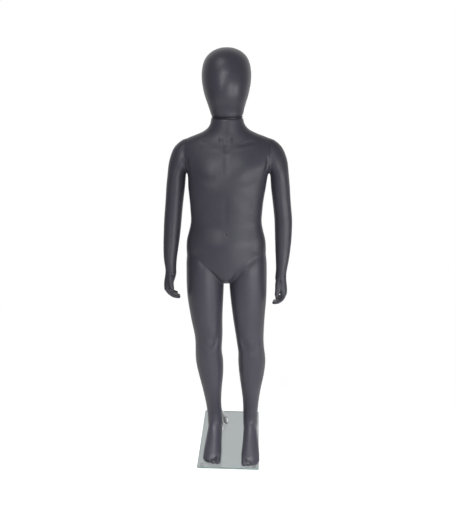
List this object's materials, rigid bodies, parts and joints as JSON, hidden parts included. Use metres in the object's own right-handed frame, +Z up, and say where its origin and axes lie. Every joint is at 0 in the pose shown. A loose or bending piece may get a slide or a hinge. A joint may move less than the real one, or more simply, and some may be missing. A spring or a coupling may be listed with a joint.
{
  "type": "full body mannequin",
  "caption": "Standing child mannequin with a plain egg head, turning arms and hands, held over a glass plate by a calf rod.",
  "frame": {"origin": "middle of the whole object, on the surface that the plate's rubber feet stand on", "axes": "+Z up, the figure faces -Y, +X is the figure's left side"},
  "size_m": [0.404, 0.31, 1.31],
  "materials": {
    "grey_shell": "matt sprayed dark grey with a faint violet cast",
    "clear_glass": "clear float glass, green at its cut edges",
    "clear_rubber": "milky clear",
    "satin_steel": "satin",
    "plated_steel": "zinc plated",
    "black_plastic": "matt"
  },
  "bodies": {
    "stand": {"glass_plate": "clear_glass", "plate_bumpers": "clear_rubber", "base_bolt": "plated_steel", "bolt_washer": "plated_steel", "flange_gasket": "clear_rubber", "rod_flange": "satin_steel", "rod_socket": "satin_steel", "clamp_screw": "plated_steel"},
    "rod": {"support_rod": "satin_steel"},
    "figure": {"torso_shell": "grey_shell", "left_leg_shell": "grey_shell", "right_leg_shell": "grey_shell", "calf_bush": "satin_steel", "bush_plug": "black_plastic", "neck_socket": "satin_steel", "neck_screws": "plated_steel", "left_shoulder_socket": "satin_steel", "left_shoulder_screws": "plated_steel", "right_shoulder_socket": "satin_steel", "right_shoulder_screws": "plated_steel"},
    "head": {"head_shell": "grey_shell", "neck_cap": "grey_shell", "head_spigot": "satin_steel"},
    "left_arm": {"left_arm_shell": "grey_shell", "left_arm_flange": "satin_steel", "left_arm_pin": "satin_steel", "left_arm_screws": "plated_steel", "left_wrist_bush": "satin_steel"},
    "left_hand": {"left_hand": "grey_shell", "left_wrist_pin": "satin_steel"},
    "right_arm": {"right_arm_shell": "grey_shell", "right_arm_flange": "satin_steel", "right_arm_pin": "satin_steel", "right_arm_screws": "plated_steel", "right_wrist_bush": "satin_steel"},
    "right_hand": {"right_hand": "grey_shell", "right_wrist_pin": "satin_steel"}
  },
  "joints": [
    {"name": "rod_lift", "type": "slide", "parent": "stand", "child": "rod", "axis": [-0.2117, 0.0292, 0.9769], "range_m": [0, 0.034]},
    {"name": "figure_lift", "type": "slide", "parent": "rod", "child": "figure", "axis": [-0.0134, -0.5913, 0.8063], "range_m": [0, 0.05]},
    {"name": "head_turn", "type": "hinge", "parent": "figure", "child": "head", "pos_m": [0.0046, -0.005, 1.118], "axis": [0, 0, 1], "continuous": true},
    {"name": "right_shoulder_turn", "type": "hinge", "parent": "figure", "child": "right_arm", "pos_m": [-0.1164, 0.004, 1.015], "axis": [-1, 0, 0], "range_deg": [-30, 170]},
    {"name": "left_shoulder_turn", "type": "hinge", "parent": "figure", "child": "left_arm", "pos_m": [0.1276, 0.004, 1.015], "axis": [-1, 0, 0], "range_deg": [-30, 170]},
    {"name": "right_wrist_turn", "type": "hinge", "parent": "right_arm", "child": "right_hand", "pos_m": [-0.1784, -0.017, 0.65], "axis": [0, 0, 1], "continuous": true},
    {"name": "left_wrist_turn", "type": "hinge", "parent": "left_arm", "child": "left_hand", "pos_m": [0.1712, -0.017, 0.64], "axis": [0, 0, 1], "continuous": true}
  ]
}
